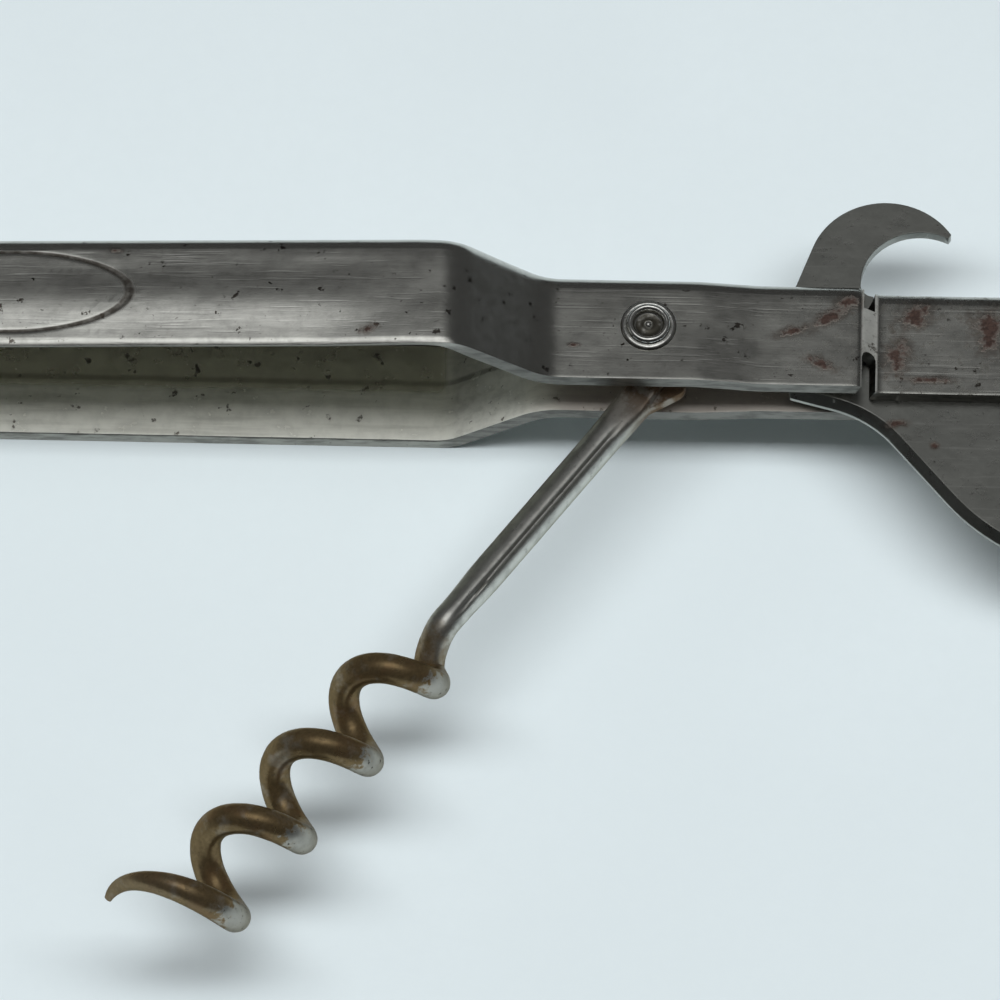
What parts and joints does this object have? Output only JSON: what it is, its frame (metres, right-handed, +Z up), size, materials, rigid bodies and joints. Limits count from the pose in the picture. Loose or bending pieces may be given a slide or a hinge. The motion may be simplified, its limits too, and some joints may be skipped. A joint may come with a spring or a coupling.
{
  "type": "lever corkscrew",
  "caption": "Folded sheet-steel lever corkscrew: a worm that folds into the channel grip, a cap lifter's hook and a tin-opening blade held in the jaw.",
  "frame": {"origin": "middle of the flat underside of the grip, on the surface that the tool lies on", "axes": "+X along the handle towards the blade, +Y towards the closed spine of the handle, +Z up from the leg that the tool lies on"},
  "size_m": [0.1687, 0.0836, 0.0225],
  "materials": {
    "plated_steel": "worn nickel plate, dull, with dark pits and a little rust",
    "rivet_steel": "worn plate, brighter where it is rubbed",
    "worm_steel": "bare steel, tarnished brown, with a grey shank",
    "blade_steel": "dull grey steel with a ground bevel"
  },
  "bodies": {
    "body": {"handle": "plated_steel", "pivot_rivet": "rivet_steel", "blade_plate": "blade_steel", "blade_rivets": "rivet_steel"},
    "corkscrew": {"worm": "worm_steel"}
  },
  "joints": [
    {"name": "worm_pivot", "type": "hinge", "parent": "body", "child": "corkscrew", "pos_m": [0.064, 0.0001, 0.0113], "axis": [0, 0, 1], "range_deg": [-53, 84]}
  ]
}
